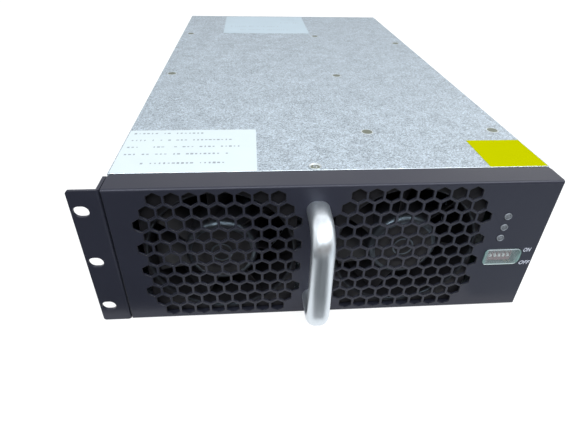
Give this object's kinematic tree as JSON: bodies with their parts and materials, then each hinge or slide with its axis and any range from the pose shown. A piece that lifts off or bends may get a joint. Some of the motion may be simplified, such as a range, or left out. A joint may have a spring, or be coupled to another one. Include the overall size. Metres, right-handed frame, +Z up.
{
  "type": "dc-dc converter module",
  "caption": "Low rack-mounted power converter module with honeycomb fan grilles, a bow handle, a mounting ear and a switch window in its dark front, and a steel body behind it.",
  "frame": {"origin": "middle of the body's underside", "axes": "+X to the right as seen from the front, +Y to the rear, +Z up"},
  "size_m": [0.245, 0.4524, 0.0884],
  "materials": {
    "galvanized_sheet": "satin",
    "charcoal_paint": "satin",
    "satin_aluminium": "satin",
    "bright_steel": "gloss",
    "fan_plastic": "matte",
    "rotor_plastic": "satin",
    "board": "satin",
    "post_brass": "satin",
    "clear_plastic": "gloss",
    "red_plastic": "gloss",
    "slider_plastic": "satin",
    "lamp_plastic": "gloss",
    "black_plastic": "matte",
    "ferrite": "matte",
    "winding_tape": "satin",
    "can_sleeve": "gloss",
    "film_case": "gloss",
    "contact_brass": "gloss",
    "white_label": "satin",
    "yellow_label": "satin"
  },
  "bodies": {
    "module": {"chassis_tray": "galvanized_sheet", "top_cover": "galvanized_sheet", "rear_panel": "galvanized_sheet", "fan_bracket": "galvanized_sheet", "cover_rail": "galvanized_sheet", "front_panel": "charcoal_paint", "ear_bracket": "charcoal_paint", "handle": "satin_aluminium", "cover_screw": "bright_steel", "fan_frame_left": "fan_plastic", "fan_frame_right": "fan_plastic", "control_board": "board", "board_spacers": "post_brass", "window_lens": "clear_plastic", "switch_body": "red_plastic", "lamp_1": "lamp_plastic", "lamp_2": "lamp_plastic", "lamp_3": "lamp_plastic", "main_board": "board", "board_standoffs": "post_brass", "heatsink_left": "satin_aluminium", "heatsink_right": "satin_aluminium", "transistors_left": "black_plastic", "transistors_right": "black_plastic", "transformer_core": "ferrite", "inductor_core": "ferrite", "choke_core": "ferrite", "transformer_winding": "winding_tape", "inductor_winding": "winding_tape", "choke_winding": "winding_tape", "bus_capacitors": "can_sleeve", "film_capacitors": "film_case", "relays": "black_plastic", "driver_card": "board", "power_connector": "black_plastic", "power_contacts": "contact_brass", "white_label": "white_label", "yellow_label": "yellow_label", "rear_label": "white_label"},
    "rotor_left": {"fan_rotor_left": "rotor_plastic"},
    "rotor_right": {"fan_rotor_right": "rotor_plastic"},
    "slider_1": {"switch_slider_1": "slider_plastic"},
    "slider_2": {"switch_slider_2": "slider_plastic"},
    "slider_3": {"switch_slider_3": "slider_plastic"},
    "slider_4": {"switch_slider_4": "slider_plastic"},
    "slider_5": {"switch_slider_5": "slider_plastic"}
  },
  "joints": [
    {"name": "fan_spin_left", "type": "hinge", "parent": "module", "child": "rotor_left", "pos_m": [-0.0607, -0.1878, 0.0435], "axis": [0, 1, 0], "continuous": true},
    {"name": "fan_spin_right", "type": "hinge", "parent": "module", "child": "rotor_right", "pos_m": [0.0393, -0.1878, 0.0435], "axis": [0, 1, 0], "continuous": true},
    {"name": "slider_travel_1", "type": "slide", "parent": "module", "child": "slider_1", "axis": [0, 0, 1], "range_m": [0, 0.002]},
    {"name": "slider_travel_2", "type": "slide", "parent": "module", "child": "slider_2", "axis": [0, 0, 1], "range_m": [0, 0.002]},
    {"name": "slider_travel_3", "type": "slide", "parent": "module", "child": "slider_3", "axis": [0, 0, 1], "range_m": [0, 0.002]},
    {"name": "slider_travel_4", "type": "slide", "parent": "module", "child": "slider_4", "axis": [0, 0, 1], "range_m": [0, 0.002]},
    {"name": "slider_travel_5", "type": "slide", "parent": "module", "child": "slider_5", "axis": [0, 0, 1], "range_m": [0, 0.002]}
  ]
}
